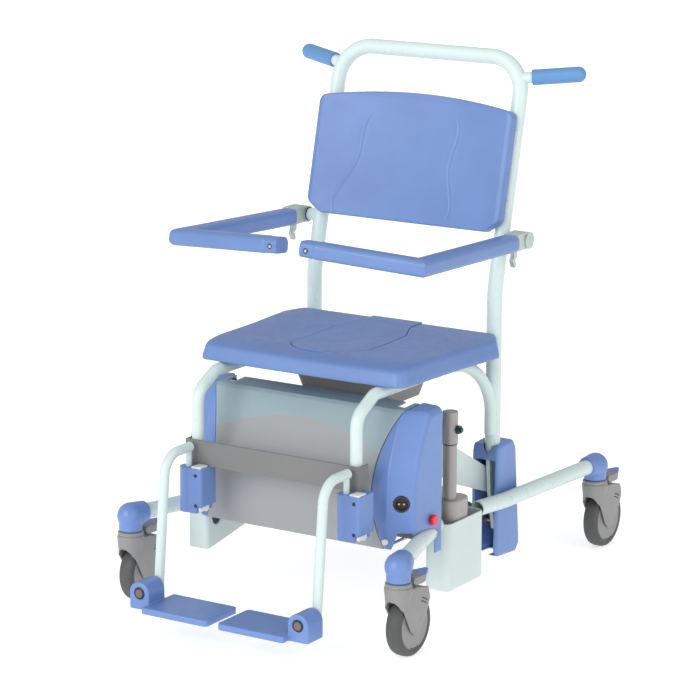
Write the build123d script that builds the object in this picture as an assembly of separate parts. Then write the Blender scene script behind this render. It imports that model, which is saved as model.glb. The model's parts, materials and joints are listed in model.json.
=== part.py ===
"""Height-adjustable shower and commode chair on four castors, with an electric lift.

Every piece of the chair is a separate solid, written to its own STEP file. Lengths are
in millimetres and angles in degrees. +X is the right side seen from in front, +Y points
to the back of the chair and +Z points up. The pieces are drawn with y = 0 through the
middle of the lift column's tub, and save() moves them so that the origin lies on the
floor, in the middle of the whole chair.
"""
from math import atan2, cos, degrees, hypot, tan
import os

from build123d import *

# ---- Driving dimensions -------------------------------------------------------------
ORIGIN_Y = 85.25                   # drawing y of the finished part's origin

# castors
WHEEL_D, WHEEL_W = 125.0, 32.0
TRAIL = 37.0
STEM_R, STEM_TOP = 6.0, 192.0
FRONT_STEM = (317.0, -307.0)
REAR_STEM = (286.0, 549.0)
NECK_Z = 156.0
BALL_R, BALL_Z = 28.0, 187.0
PEDAL_Z, PEDAL_LENGTH = (146.0, 159.0), 65.0
PEDAL_FRONT = 27.0                 # from the stem back to the pedal's rounded front

# chassis
LEG_D, LEG_WALL, LEG_Z = 32.0, 2.5, 190.0
FRONT_LEG_END = (236.0, -30.0)
REAR_LEG_END = (247.0, 112.0)
REAR_LEG_BEND = (262.0, 190.0)
TUB_X, TUB_Y, TUB_Z = (205.0, 265.0), (-30.0, 112.0), (50.0, 192.0)
TUB_WALL = 3.5
BRACKET_X, BRACKET_Y, BRACKET_Z = (-265.0, -215.0), (-184.0, 112.0), (101.0, 206.0)
COLUMN_X = (176.0, 188.0)
BEAM_Y, BEAM_Z = (-112.0, -72.0), (178.0, 214.0)

# front cover
COVER_X = (180.0, 270.0)
COVER_BACK_Y = -67.0
COVER_Z = (174.0, 440.0)
COVER_WALL = 4.0
PANEL_WALL = 3.5
COVER_TAPER = (222.0, 26.0)         # x where the front starts to slope back, and how far
STOP_BUTTON = (-108.0, 224.0)       # y and z of the button's axis
CHARGING_INLET = (248.0, -185.0, 270.0)

# lift arms: pivots in the side view (y, z), and their planes across the chair
UPPER_PIVOT = (-110.0, 405.0)
UPPER_REAR = (250.0, 210.0)
PIVOT_DROP = 85.0
UPPER_ARM_X = (196.0, 208.0)
LOWER_ARM_X = (193.0, 199.0)
PIN_R = 6.0
RUNNING = 0.05                     # radial running clearance
TORQUE_TUBE_R = 19.0

# lift column
COLUMN_AXIS = (236.0, 19.0)
COLUMN_FOOT_Z = 75.0
BOLT_Z = 377.0

# seat carrier
POST_X, POST_Y, POST_D, POST_WALL = 219.0, 220.0, 32.0, 2.5
POST_FOOT_Z, POST_BEND_Z = 272.0, 620.0
TOP_BAR_Z, TOP_BAR_Y = 1081.0, 329.0
HOOP_CORNER_R = 74.0
GRIP_ROOT, GRIP_TIP, GRIP_D = (238.0, 330.0, 1045.0), (325.0, 363.0, 1054.0), 32.0
SEAT_TUBE_D, SEAT_TUBE_WALL, SEAT_TUBE_Z = 25.0, 2.0, 483.0
FRONT_TUBE_X, FRONT_TUBE_Y, FRONT_TUBE_FOOT = 187.0, -253.0, 311.0
PLATE_X = (212.0, 220.0)
REAR_COVER_X = (186.0, 246.0)
REAR_COVER_WALL = 4.0

# seat, pan and back
SEAT_HALF, SEAT_Y, SEAT_Z = 238.0, (-172.0, 202.0), (496.0, 537.0)
OPENING_HALF, OPENING_FRONT = 84.0, -130.0
LID_GAP, LID_DEPTH, LID_TRAVEL = 1.5, 26.0, 60.0
PAN_TOP, PAN_BOTTOM, PAN_Y = (121.0, 488.0), (98.0, 404.0), (-36.0, 168.0)
BACK_HALF, BACK_Z, BACK_THICK = 232.0, (737.0, 976.0), 26.0
BACK_FOOT_Y = 227.0
LEAN = atan2(TOP_BAR_Y - POST_Y, TOP_BAR_Z - POST_BEND_Z)

# armrests
ARM_AXIS = (245.0, 727.0)
ARM_SECTION = (42.0, 34.0)
LEVER_PIVOT = (212.0, 715.0)        # y and z of the catch's pivot
ARM_PATH = [(267.0, 197.0, 727.0), (279.0, -171.0, 741.0), (25.0, -193.0, 755.0)]

# legrests
BAND_Y, BAND_Z, BAND_HALF, BAND_WALL = (-271.0, -238.0), (307.0, 357.0), 205.0, 4.0
LEGREST_PIN = (186.0, -287.0)
LEGREST_PIN_R = 6.0
RELEASE_PIVOT = (218.0, -276.0)     # x and y of the release lever's pivot
LEGREST_D, LEGREST_TOP_Z = 20.0, 345.0
LEGREST_KNEE_Y, LEGREST_FOOT_Y = -366.0, -392.0
FOOT_AXIS_Z = 86.0
FOOT_BARREL_Y, FOOT_BARREL_R = (-458.0, -404.0), 23.0
FOOT_X, FOOT_Y, FOOT_Z = (12.0, 166.0), (-478.0, -370.0), (53.0, 66.0)


# ---- Helpers ------------------------------------------------------------------------
def block(xs, ys, zs):
    """Box between two limits on each axis."""
    middle = [(a + b) / 2 for a, b in (xs, ys, zs)]
    return Pos(*middle) * Box(*[abs(b - a) for a, b in (xs, ys, zs)])


def rod(start, end, radius):
    """Round bar from one point to another."""
    line = Vector(*end) - Vector(*start)
    return extrude(Plane(origin=start, z_dir=line) * Circle(radius), line.length)


def drum(axis, xs, radius):
    """Round bar along X; axis is its (y, z)."""
    return rod((xs[0], *axis), (xs[1], *axis), radius)


def tube(points, radii, diameter, wall=None):
    """Round tube along straight runs joined by tangent arcs, solid where wall is None."""
    path = FilletPolyline(*points, radius=radii) if len(points) > 2 else Line(*points)
    section = Circle(diameter / 2)
    if wall:
        section -= Circle(diameter / 2 - wall)
    return sweep(Plane(origin=path @ 0, z_dir=path % 0) * section, path=path)


def side_plate(outline, xs):
    """Flat plate parallel to the side view: outline is a face on the (y, z) plane."""
    face = Plane(origin=(xs[0], 0, 0), x_dir=(0, 1, 0), z_dir=(1, 0, 0)) * outline
    return extrude(face, xs[1] - xs[0])


def front_plate(outline, ys):
    """Solid whose front view is the outline, a face on the (x, z) plane."""
    face = Plane(origin=(0, ys[1], 0), x_dir=(1, 0, 0), z_dir=(0, -1, 0)) * outline
    return extrude(face, ys[1] - ys[0])


def mirrored(shape):
    return mirror(shape, about=Plane.YZ)


def both(shape):
    """The piece and its mirror image, as separate solids of one node."""
    return Compound([*shape.solids(), *mirrored(shape).solids()])


def save(shape, name):
    export_step(Pos(0, -ORIGIN_Y, 0) * shape, f"parts/{name}.step")


def save_pair(shape, name):
    """Write the right-hand piece and its mirror image."""
    save(shape, f"{name}_right")
    save(mirrored(shape), f"{name}_left")


def save_copies(shape, name):
    """Write the right-hand piece and the same piece, unmirrored, at the left legrest."""
    save(shape, f"{name}_right")
    save(Pos(-2 * LEGREST_PIN[0], 0, 0) * shape, f"{name}_left")


# ---- Castors ------------------------------------------------------------------------
def castor_fork(x, y):
    """Moulded fork: neck, crown, two cheeks, stem and wheel axle."""
    axle_y, axle_z = y + TRAIL, WHEEL_D / 2
    cheek = make_face(Polyline(
        (y - 26, 141), (y - 27, 112), (y - 12, 102), (axle_y - 22, axle_z - 6),
        (axle_y - 6, axle_z - 20), (axle_y + 14, axle_z - 16), (axle_y + 38, axle_z + 20),
        (axle_y + 46, axle_z + 48), (axle_y + 36, 141), close=True))
    cheek = fillet(cheek.vertices(), 4)
    gap = WHEEL_W / 2 + 2
    cheeks = side_plate(cheek, (x + gap, x + gap + 4.5))
    cheeks += side_plate(cheek, (x - gap - 4.5, x - gap))
    crown = block((x - gap - 4.5, x + gap + 4.5), (y - 26, axle_y + 30), (128.5, 141))
    crown = fillet(crown.edges().filter_by(Axis.Z), 9)
    neck = rod((x, y, 139), (x, y, NECK_Z), 25)
    fork = cheeks + crown + neck + rod((x, y, 150), (x, y, STEM_TOP), STEM_R)
    pedal_room = side_plate(make_face(Polyline(
        (y + 27, 142), (y + 90, 130), (y + 90, 150), (y + 27, 150), close=True)), (x - 30, x + 30))
    return fork - pedal_room + drum((axle_y, axle_z), (x - gap - 2, x + gap + 2), 4.0)


def castor_wheel(x, y):
    """Tyre and disc hub, free to spin on the axle."""
    axle = (y + TRAIL, WHEEL_D / 2)
    half = WHEEL_W / 2
    tyre = drum(axle, (x - half, x + half), WHEEL_D / 2)
    tyre = fillet(tyre.edges().filter_by(GeomType.CIRCLE), 7)
    tyre -= drum(axle, (x - half, x + half), 48)
    hub = drum(axle, (x - half + 0.5, x + half - 0.5), 48)
    bore = drum(axle, (x - half, x + half), 4.0 + RUNNING)
    return Compound([*(tyre - bore).solids(), *(hub - bore).solids()])


def brake_pedal(x, y):
    """Foot pedal behind the neck: a round hinge edge in front and a pointed toe tab."""
    front, back = y + PEDAL_FRONT, y + PEDAL_FRONT + PEDAL_LENGTH
    thick = PEDAL_Z[1] - PEDAL_Z[0]
    axis = (front + thick / 2, PEDAL_Z[0] + thick / 2)
    outline = make_face(Polyline(
        (x - 15, axis[0]), (x + 15, axis[0]), (x + 17, y + 62), (x + 9, back),
        (x - 9, back), (x - 17, y + 62), close=True))
    outline = fillet(outline.vertices().filter_by(lambda v: v.Y > axis[0] + 1), 5)
    return extrude(Pos(0, 0, PEDAL_Z[0]) * outline, thick) + drum(axis, (x - 15, x + 15), thick / 2)


def castor_sockets():
    """Rounded plastic elbows that hold the castor stems at the leg tubes' ends."""
    sockets = []
    for (x, y), (end_x, end_y) in ((FRONT_STEM, FRONT_LEG_END), (REAR_STEM, REAR_LEG_BEND)):
        inward = Vector(end_x - x, end_y - y, 0).normalized()
        mouth = Vector(x, y, LEG_Z) + inward * 36
        socket = Pos(x, y, BALL_Z) * Sphere(BALL_R)
        socket += rod((x, y, NECK_Z + 1.5), (x, y, BALL_Z), 24)
        socket += rod((x, y, LEG_Z), mouth, 21)
        socket -= rod((x, y, NECK_Z), (x, y, STEM_TOP + 1), STEM_R + RUNNING)
        socket -= rod(Vector(x, y, LEG_Z) + inward * 20, mouth + inward, LEG_D / 2)
        sockets += [*socket.solids(), *mirrored(socket).solids()]
    return Compound(sockets)


# ---- Chassis ------------------------------------------------------------------------
def socket_seat(stem, towards):
    """Where a leg tube starts inside its castor socket."""
    inward = Vector(towards[0] - stem[0], towards[1] - stem[1], 0).normalized()
    return Vector(*stem, LEG_Z) + inward * 20


def front_leg_tubes():
    """Front leg tubes, cut to the tub on the right and to the bracket on the left."""
    start = socket_seat(FRONT_STEM, FRONT_LEG_END)
    finish = Vector(*FRONT_LEG_END, LEG_Z)
    right = tube([start, finish + (finish - start).normalized() * 12], [], LEG_D, LEG_WALL)
    left = mirrored(right)
    right -= block((150, 400), (TUB_Y[0], 300), (90, 230))
    left -= block((BRACKET_X[0], 0), (BRACKET_Y[0], 300), (90, 230))
    left -= block((-400, 0), (-60, 300), (90, 230))
    return Compound([*right.solids(), *left.solids()])


def rear_leg_tubes():
    """Rear leg tubes, splayed outwards past the seat carrier's covers."""
    points = [socket_seat(REAR_STEM, REAR_LEG_BEND), (*REAR_LEG_BEND, LEG_Z), (*REAR_LEG_END, LEG_Z)]
    return both(tube(points, [200], LEG_D, LEG_WALL) - block((150, 400), (-300, TUB_Y[1]), (90, 230)))


def base_frame():
    """Welded cross beam, control plate and the two columns that carry the lift pivots."""
    beam = block((-212, 236), BEAM_Y, BEAM_Z)
    beam -= block((-206, 230), (BEAM_Y[0] + 3, BEAM_Y[1] - 3), (BEAM_Z[0] + 3, BEAM_Z[1] - 3))
    beam += block((207, 233), (BEAM_Y[1], TUB_Y[0]), (178, 190))
    beam += block((-215, -212), BEAM_Y, BEAM_Z)
    frame = beam + block((-160, 160), (BEAM_Y[0] - 5, BEAM_Y[0]), (178, 335))
    column = block(COLUMN_X, (-140, -74), (178, UPPER_PIVOT[1]))
    column += drum(UPPER_PIVOT, COLUMN_X, 26)
    column -= block((170, 195), (-90, -70), (340, 380))
    column += drum((UPPER_PIVOT[0], UPPER_PIVOT[1] - PIVOT_DROP), (188, 192), 12)
    frame += column + mirrored(column)
    bore = drum(UPPER_PIVOT, (170, 195), TORQUE_TUBE_R + RUNNING)
    start = socket_seat(FRONT_STEM, FRONT_LEG_END)
    finish = Vector(*FRONT_LEG_END, LEG_Z)
    leg = rod(start, finish + (finish - start).normalized() * 12, LEG_D / 2)
    for cut in (bore, leg):
        frame = frame - cut - mirrored(cut)
    return frame.solids().sort_by(SortBy.VOLUME)[-1]


def left_side_bracket():
    """Folded channel on the left that carries both left leg tubes."""
    (x0, x1), (y0, y1), (z0, z1) = BRACKET_X, BRACKET_Y, BRACKET_Z
    outer = block(BRACKET_X, BRACKET_Y, BRACKET_Z)
    outer = fillet(outer.edges().filter_by(Axis.Z), 12)
    inner = block((x0 + 3.5, x1 - 3.5), (y0 + 3.5, y1 - 3.5), (z0 + 3.5, z1 + 5))
    inner = fillet(inner.edges().filter_by(Axis.Z), 9)
    wedge = side_plate(make_face(Polyline(
        (y0 - 5, z0 - 5), (y1 + 5, z0 - 5), (y1 + 5, 150), (y0 + 10, z0), (y0 - 5, z0),
        close=True)), (x0 - 5, x1 + 5))
    floor = side_plate(make_face(Polyline(
        (y0 + 10, z0), (y1, 149), (y1, 152.5), (y0 + 10, z0 + 3.5), close=True)), (x0, x1))
    bracket = outer - inner - wedge + (floor & outer)
    for y, radius in ((-150, 15), (-100, 11)):
        bracket -= drum((y, 163), (x1 - 5, x1 + 5), radius)
    return bracket


def actuator_tub():
    """Open tub on the right that holds the lift column's motor."""
    tub = block(TUB_X, TUB_Y, TUB_Z)
    tub = fillet(tub.edges().filter_by(Axis.Z), 16)
    tub = fillet(tub.faces().sort_by(Axis.Z)[0].edges(), 7)
    inner = block(*[(a + TUB_WALL, b - TUB_WALL) for a, b in (TUB_X, TUB_Y)], (TUB_Z[0] + TUB_WALL, 200))
    inner = fillet(inner.edges().filter_by(Axis.Z), 12)
    tub -= inner
    ear = side_plate(make_face(Polyline((3, 53), (35, 53), (29, 84), (9, 84), close=True)), (218, 224))
    ears = ear + Pos(2 * (COLUMN_AXIS[0] - 221), 0, 0) * ear
    pin = drum((COLUMN_AXIS[1], COLUMN_FOOT_Z), (216, 256), 5)
    return tub + ears + pin


# ---- Front cover --------------------------------------------------------------------
def cover_profile(inset):
    """Side view of the whole front cover: a bulging front and a gently rising lid."""
    face = make_face([
        *ThreePointArc((-189, 174), (-199, 285), (-142, 438)).edges(),
        *Polyline((-142, 438), (-135, 444), (COVER_BACK_Y, 447), (COVER_BACK_Y, 174),
                  (-189, 174)).edges()])
    return offset(face, -inset, kind=Kind.INTERSECTION) if inset else face


def end_outline(inset):
    """Front view of a side cover: straight outside, bowed inside edge."""
    z0, z1 = COVER_Z
    face = make_face([
        *ThreePointArc((212, z0), (187, 300), (227, z1 + 10)).edges(),
        *Polyline((227, z1 + 10), (COVER_X[1], z1 + 10), (COVER_X[1], z0), (212, z0)).edges()])
    return offset(face, -inset, kind=Kind.INTERSECTION) if inset else face


def tapered_cover(inset, xs):
    """The cover's side view carried along X, its front sloping back towards the outside."""
    start, setback = COVER_TAPER
    profile = cover_profile(inset)
    run = xs[1] - start
    way = Vector(run, setback * run / (COVER_X[1] - start), 0)
    face = Plane(origin=(start, 0, 0), x_dir=(0, 1, 0), z_dir=(1, 0, 0)) * profile
    sloped = extrude(face, way.length, dir=way.normalized())
    limits = block(xs, (-260, COVER_BACK_Y - inset), (100, 500))
    return (side_plate(profile, (xs[0], start)) + sloped) & limits


def inlet_place():
    """Centre of the charging inlet's face, turned square to the sloping front."""
    start, setback = COVER_TAPER
    return Pos(*CHARGING_INLET) * Rot(0, 0, degrees(atan2(setback, COVER_X[1] - start)))


def side_cover():
    """Moulded end cover with a bowed inner edge, open at the back and inside."""
    shell = tapered_cover(0, COVER_X) & front_plate(end_outline(0), (-260, -40))
    outer_edges = shell.edges().filter_by(lambda e: e.center().X > COVER_X[1] - 1)
    front_edges = [e for e in outer_edges if e.center().Y < COVER_BACK_Y - 20 and e.center().Z > 180]
    shell = fillet(front_edges, 16)
    inside = tapered_cover(COVER_WALL + 3, (150, COVER_X[1] - 2 * COVER_WALL))
    hollow = inside & front_plate(end_outline(COVER_WALL), (-260, -30))
    hollow += inside & block((150, 262), (-172, -30), (178, 436))
    hollow += inside & block((193, 266), (-110, -30), (178, 440))
    hollow += block((205, 262), (COVER_BACK_Y - 8, COVER_BACK_Y + 5), (181, 432))
    hollow += block((190, 262), (BEAM_Y[0] - 3, COVER_BACK_Y + 5), (BEAM_Z[0] - 0.5, BEAM_Z[1] + 3))
    shell -= hollow
    shell += block((266, COVER_X[1]), (-92, COVER_BACK_Y), (151, 176))
    start = socket_seat(FRONT_STEM, FRONT_LEG_END)
    finish = Vector(*FRONT_LEG_END, LEG_Z)
    shell -= rod(start, finish, LEG_D / 2 + 2)
    drop = Vector(0, 0, 14)
    shell -= rod(start - drop, finish - drop, LEG_D / 2 + 2) & block((200, 330), (-210, -95), (150, 200))
    shell -= block((213, 266), (-186, -60), (170, 210))
    shell -= rod((219, -210, 192), (219, -180, 192), 2.6)
    return shell.solids().sort_by(SortBy.VOLUME)[-1]


def front_panel():
    """Curved skin between the two side covers, with a lid notched for the lift arms."""
    shell = side_plate(cover_profile(0), (-226, 226))
    hollow = side_plate(cover_profile(PANEL_WALL), (-230, 230))
    for opened in ((0, 0, 0), (0, 8, 0), (0, 0, -5)):
        shell -= Pos(*opened) * hollow
    shell -= block((-230, 230), (COVER_BACK_Y - 12, -60), (400, 460))
    ends = front_plate(offset(end_outline(0), 0.8, kind=Kind.INTERSECTION), (-260, -40))
    notch = block((UPPER_ARM_X[0] - 4, UPPER_ARM_X[1] + 4), (-116, -60), (400, 460))
    for cut in (ends, notch):
        shell = shell - cut - mirrored(cut)
    return shell.solids().sort_by(SortBy.VOLUME)[-1]


def charging_socket():
    """Round charging inlet with two contact pins in a shallow well."""
    body = rod((0, -1.5, 0), (0, 22, 0), 16)
    body -= rod((0, -2, 0), (0, 8, 0), 13)
    for side in (-5, 5):
        body += rod((side, 8.5, 0), (side, 2.5, 0), 2)
    return inlet_place() * body


def cover_screws():
    """Round-headed screws at the lower inner corner of each side cover."""
    head = rod((219, -201, 192), (219, -194.8, 192), 6) + rod((219, -195, 192), (219, -184, 192), 2.5)
    return both(head)


def battery_pack():
    pack = block((-150, -14), (-176, BEAM_Y[0] - 5), (216, 330))
    return fillet(pack.edges().filter_by(Axis.Y), 5)


def control_box():
    box = block((16, 146), (-170, BEAM_Y[0] - 5), (222, 322))
    return fillet(box.edges().filter_by(Axis.Y), 4)


def stop_button():
    """Mushroom stop button on the right side cover: it travels inwards."""
    y, z = STOP_BUTTON
    cap = drum((y, z), (273.5, 281), 11)
    cap = fillet(cap.edges().filter_by(GeomType.CIRCLE).sort_by(Axis.X)[-1], 3)
    return cap + drum((y, z), (262, 273.5), 6)


# ---- Lift ---------------------------------------------------------------------------
ARM_LINE = hypot(UPPER_REAR[0] - UPPER_PIVOT[0], UPPER_REAR[1] - UPPER_PIVOT[1])
ARM_ANGLE = degrees(atan2(UPPER_REAR[1] - UPPER_PIVOT[1], UPPER_REAR[0] - UPPER_PIVOT[0]))
LOWER_PIVOT = (UPPER_PIVOT[0], UPPER_PIVOT[1] - PIVOT_DROP)
LOWER_REAR = (UPPER_REAR[0], UPPER_REAR[1] - PIVOT_DROP)


def along_arm(outline, pivot):
    """Turn an outline drawn along the arm's own line into the side view."""
    return Pos(*pivot) * Rot(0, 0, ARM_ANGLE) * outline


def upper_lift_frame():
    """Torque tube with a deep arm at each end and the lug that the lift column pushes."""
    outline = make_face(Polyline(
        (0, 20), (ARM_LINE, 17), (ARM_LINE, -17), (ARM_LINE - 16, -28), (250, -49), (60, -44),
        (0, -26), close=True))
    outline += Circle(27) + Pos(ARM_LINE, 0) * Circle(18)
    arm = side_plate(along_arm(outline, UPPER_PIVOT), UPPER_ARM_X)
    arm -= drum(UPPER_REAR, (190, 215), PIN_R + RUNNING)
    lug = side_plate(make_face(Polyline(
        (-25, 345), (44, 300), (48, 330), (33, 388), (5, 388), close=True)), (201, 207.5))
    ring = drum(UPPER_PIVOT, (-UPPER_ARM_X[0], UPPER_ARM_X[0]), TORQUE_TUBE_R)
    ring -= drum(UPPER_PIVOT, (-UPPER_ARM_X[0], UPPER_ARM_X[0]), TORQUE_TUBE_R - 3)
    return ring + arm + lug + mirrored(arm)


def lower_arm():
    """Flat parallel link below the deep arm."""
    outline = Pos(ARM_LINE / 2, 0) * Rectangle(ARM_LINE, 22)
    outline += Circle(14) + Pos(ARM_LINE, 0) * Circle(14)
    arm = side_plate(along_arm(outline, LOWER_PIVOT), LOWER_ARM_X)
    arm -= drum(LOWER_PIVOT, (190, 205), PIN_R + RUNNING)
    return arm - drum(LOWER_REAR, (190, 205), PIN_R + 0.5)


def front_pivot_pins():
    """Shoulder pins on the columns for the lower arms."""
    pin = drum(LOWER_PIVOT, (192, 200), PIN_R) + drum(LOWER_PIVOT, (200, 203.5), 10)
    return both(pin)


def rear_pivot_pins():
    """Shoulder pins on the carrier plates for both pairs of arms."""
    pins = drum(UPPER_REAR, (195, PLATE_X[0]), PIN_R) + drum(UPPER_REAR, (191.5, 195), 10)
    pins += drum(LOWER_REAR, (192, PLATE_X[0]), PIN_R)
    return both(pins)


def actuator_body():
    """Motor housing and outer tube of the lift column, on its foot pin."""
    x, y = COLUMN_AXIS
    outline = SlotCenterToCenter(27, 47, rotation=90)
    housing = extrude(Pos(x, y + 13.5, 92) * outline, 140)
    housing = fillet(housing.faces().sort_by(Axis.Z)[-1].edges(), 5)
    foot = block((226, 246), (y - 11, y + 11), (COLUMN_FOOT_Z, 93)) + drum(
        (y, COLUMN_FOOT_Z), (226, 246), 11)
    body = housing + foot + rod((x, y, 230), (x, y, 345), 14)
    body -= rod((x, y, 100), (x, y, 346), 10 + RUNNING)
    return body - drum((y, COLUMN_FOOT_Z), (220, 250), 5 + RUNNING)


def actuator_rod():
    """Piston of the lift column with its round head."""
    x, y = COLUMN_AXIS
    head = rod((x, y, 347), (x, y, 413), 16)
    head = fillet(head.edges().filter_by(GeomType.CIRCLE).sort_by(Axis.Z)[-1], 3)
    head -= drum((y, BOLT_Z), (210, 262), 5)
    return head + rod((x, y, 120), (x, y, 350), 10)


def clevis_bolt():
    """Cross bolt through the column's head, with a deep nut outside."""
    axis = (COLUMN_AXIS[1], BOLT_Z)
    nut = side_plate(Pos(*axis) * RegularPolygon(9, 6), (252.2, 260))
    return drum(axis, (210, 264), 5) + nut + drum(axis, (213, 219.8), 9)


# ---- Seat carrier -------------------------------------------------------------------
def post_y(z):
    """Where the leaning post's axis is at a given height."""
    return POST_Y + max(0.0, z - POST_BEND_Z) * tan(LEAN)


def hoop_path(wall):
    points = [(POST_X, POST_Y, POST_FOOT_Z), (POST_X, POST_Y, POST_BEND_Z),
              (POST_X, TOP_BAR_Y, TOP_BAR_Z)]
    points += [(-x, y, z) for x, y, z in reversed(points)]
    return tube(points, [250, HOOP_CORNER_R, HOOP_CORNER_R, 250], POST_D, wall)


def back_hoop():
    """Bent back frame with grip stubs, armrest bosses and the lift plates at its feet."""
    hoop = hoop_path(POST_WALL)
    core = hoop_path(None)
    boss = drum(ARM_AXIS, (POST_X, 248), 13) + drum(ARM_AXIS, (POST_X, 283), PIN_R)
    stub = rod(Vector(*GRIP_ROOT) + (Vector(*GRIP_ROOT) - Vector(*GRIP_TIP)) * 0.2, GRIP_TIP, 12)
    plate = make_face(Polyline(
        (206, 300), (234, 300), (252, 235), (270, 222), (270, 112), (232, 112), (212, 200),
        (206, 270), close=True))
    plate = side_plate(fillet(plate.vertices(), 5), PLATE_X)
    for piece in (boss, stub, plate):
        outside = (piece - core).solids().sort_by(SortBy.VOLUME)[-1]
        hoop += outside + mirrored(outside)
    return hoop


def push_grips():
    """Rubber grips with domed ends over their stubs."""
    root, tip = Vector(*GRIP_ROOT), Vector(*GRIP_TIP)
    grip = rod(root, tip, GRIP_D / 2) + Pos(*tip) * Sphere(GRIP_D / 2)
    grip -= hoop_path(None)
    return both(grip - rod(root - (tip - root) * 0.2, tip, 12))


def seat_tubes():
    """Side tubes: band socket, knee under the seat, and the curve down to the post."""
    points = [(FRONT_TUBE_X, FRONT_TUBE_Y, FRONT_TUBE_FOOT), (FRONT_TUBE_X, FRONT_TUBE_Y, 450),
              (FRONT_TUBE_X, -190, SEAT_TUBE_Z), (FRONT_TUBE_X, 66, SEAT_TUBE_Z),
              (POST_X, 210, SEAT_TUBE_Z), (POST_X, 210, 322)]
    pipe = tube(points, [38, 38, 90, 118], SEAT_TUBE_D, SEAT_TUBE_WALL)
    return both((pipe - hoop_path(None)).solids().sort_by(SortBy.VOLUME)[-1])


def rear_cover():
    """Tapered moulded cover over the lift's rear pivots, open where the arms enter."""
    outline = make_face(Polyline(
        (201, 300), (262, 303), (274, 285), (293, 75), (280, 57), (207, 62), (194, 75), (197, 285),
        close=True))
    outline = fillet(outline.vertices(), 8)
    cover = side_plate(outline, REAR_COVER_X)
    cover = fillet(cover.edges().filter_by(lambda e: e.center().X > REAR_COVER_X[1] - 0.5), 7)
    wall = REAR_COVER_WALL
    inner = side_plate(offset(outline, -wall, kind=Kind.INTERSECTION),
                       (REAR_COVER_X[0] + wall, REAR_COVER_X[1] - wall))
    cover -= inner
    cover -= block((UPPER_ARM_X[0] - 4, 238), (185, 215), (66, 268))
    cover -= block((UPPER_ARM_X[0] - 4, 222), (185, 262), (50, 70))
    cover -= hoop_path(None)
    return (cover - rod((POST_X, 210, 280), (POST_X, 210, 330), SEAT_TUBE_D / 2 + 0.3)
            ).solids().sort_by(SortBy.VOLUME)[-1]


# ---- Seat, pan and back -------------------------------------------------------------
def opening_outline(gap):
    """Hygiene opening: rounded front, narrowing to a slot through the rear edge."""
    half, front = OPENING_HALF - gap, OPENING_FRONT + gap
    side = [(half, -30), (half, 95), (60 - gap, 150), (60 - gap, 230)]
    mirror_side = [(-x, y) for x, y in reversed(side)]
    return make_face([
        *ThreePointArc((-half, -30), (0, front), (half, -30)).edges(),
        *Polyline(*side, *mirror_side).edges()])


def seat():
    """Moulded seat with a waterfall front edge and a hygiene opening."""
    front, back = SEAT_Y
    side = [(230, front), (SEAT_HALF + 2, front + 22), (SEAT_HALF + 12, 30), (SEAT_HALF + 25, 160),
            (SEAT_HALF - 2, back)]
    other_side = [(-x, y) for x, y in reversed(side)]
    outline = make_face([
        *ThreePointArc((-230, front), (0, front - 5), (230, front)).edges(),
        *Polyline(*side, *other_side).edges()])
    outline = fillet(outline.vertices().filter_by(lambda v: abs(v.X) > 210), 14)
    pad = extrude(Pos(0, 0, SEAT_Z[0]) * outline, SEAT_Z[1] - SEAT_Z[0])
    pad = fillet(pad.faces().sort_by(Axis.Z)[-1].edges(), 9)
    return pad - extrude(Pos(0, 0, SEAT_Z[0] - 5) * opening_outline(0), 60)


def seat_lid():
    """Plug that closes the hygiene opening, with a rear finger tab."""
    outline = opening_outline(LID_GAP) & Pos(0, 40) * Rectangle(400, 2 * (SEAT_Y[1] - 41))
    return extrude(Pos(0, 0, SEAT_Z[1] - LID_DEPTH) * outline, LID_DEPTH)


def pan_body(shrink, top):
    """Tapered tray volume between the pan's top and bottom outlines."""
    (half_top, z_top), (half_low, z_low) = PAN_TOP, PAN_BOTTOM
    middle = sum(PAN_Y) / 2
    length = PAN_Y[1] - PAN_Y[0]
    mouth = RectangleRounded(2 * (half_top - shrink), length - 2 * shrink, 26)
    foot = RectangleRounded(2 * (half_low - shrink), length - 44 - 2 * shrink, 26)
    return loft([Pos(0, middle, z_low + shrink) * foot, Pos(0, middle, z_top + top) * mouth])


def commode_pan():
    """Removable pan with a flat rim that rides on the rails."""
    rim = block((-148, 148), (PAN_Y[0] - 4, PAN_Y[1] + 8), (484, 488))
    rim = fillet(rim.edges().filter_by(Axis.Z), 14)
    return pan_body(0, 0) + rim - pan_body(2.5, 0.01) - (pan_body(2.5, 0.01) & rim)


def pan_rails():
    """Folded rails under the seat that carry the pan's rim."""
    rail = block((141, 152), (-38, 180), (479, SEAT_Z[0])) - block((138, 149.5), (-46, 190), (481.5, 493))
    return both(rail)


def backrest():
    """Moulded back pad, hollowed across its width and leaning with the posts."""
    deep = 13
    rear = ThreePointArc((-BACK_HALF, 0), (0, deep), (BACK_HALF, 0))
    front = ThreePointArc((BACK_HALF, -BACK_THICK), (0, deep - BACK_THICK), (-BACK_HALF, -BACK_THICK))
    band = make_face([rear, Line(rear @ 1, front @ 0), front, Line(front @ 1, rear @ 0)])
    height = (BACK_Z[1] - BACK_Z[0]) / cos(LEAN)
    slab = extrude(Pos(0, 0, -10) * band, height + 50)
    top = ThreePointArc((-BACK_HALF, height), (0, height + 22), (BACK_HALF, height))
    rest = Polyline((BACK_HALF, height), (BACK_HALF, 24), (BACK_HALF - 34, 0), (-BACK_HALF + 34, 0),
                    (-BACK_HALF, 24), (-BACK_HALF, height))
    outline = make_face([top, *rest.edges()])
    outline = fillet(outline.vertices(), 18)
    pad = slab & front_plate(outline, (-80, 80))
    return Pos(0, BACK_FOOT_Y, BACK_Z[0]) * Rot(-degrees(LEAN), 0, 0) * pad


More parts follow.
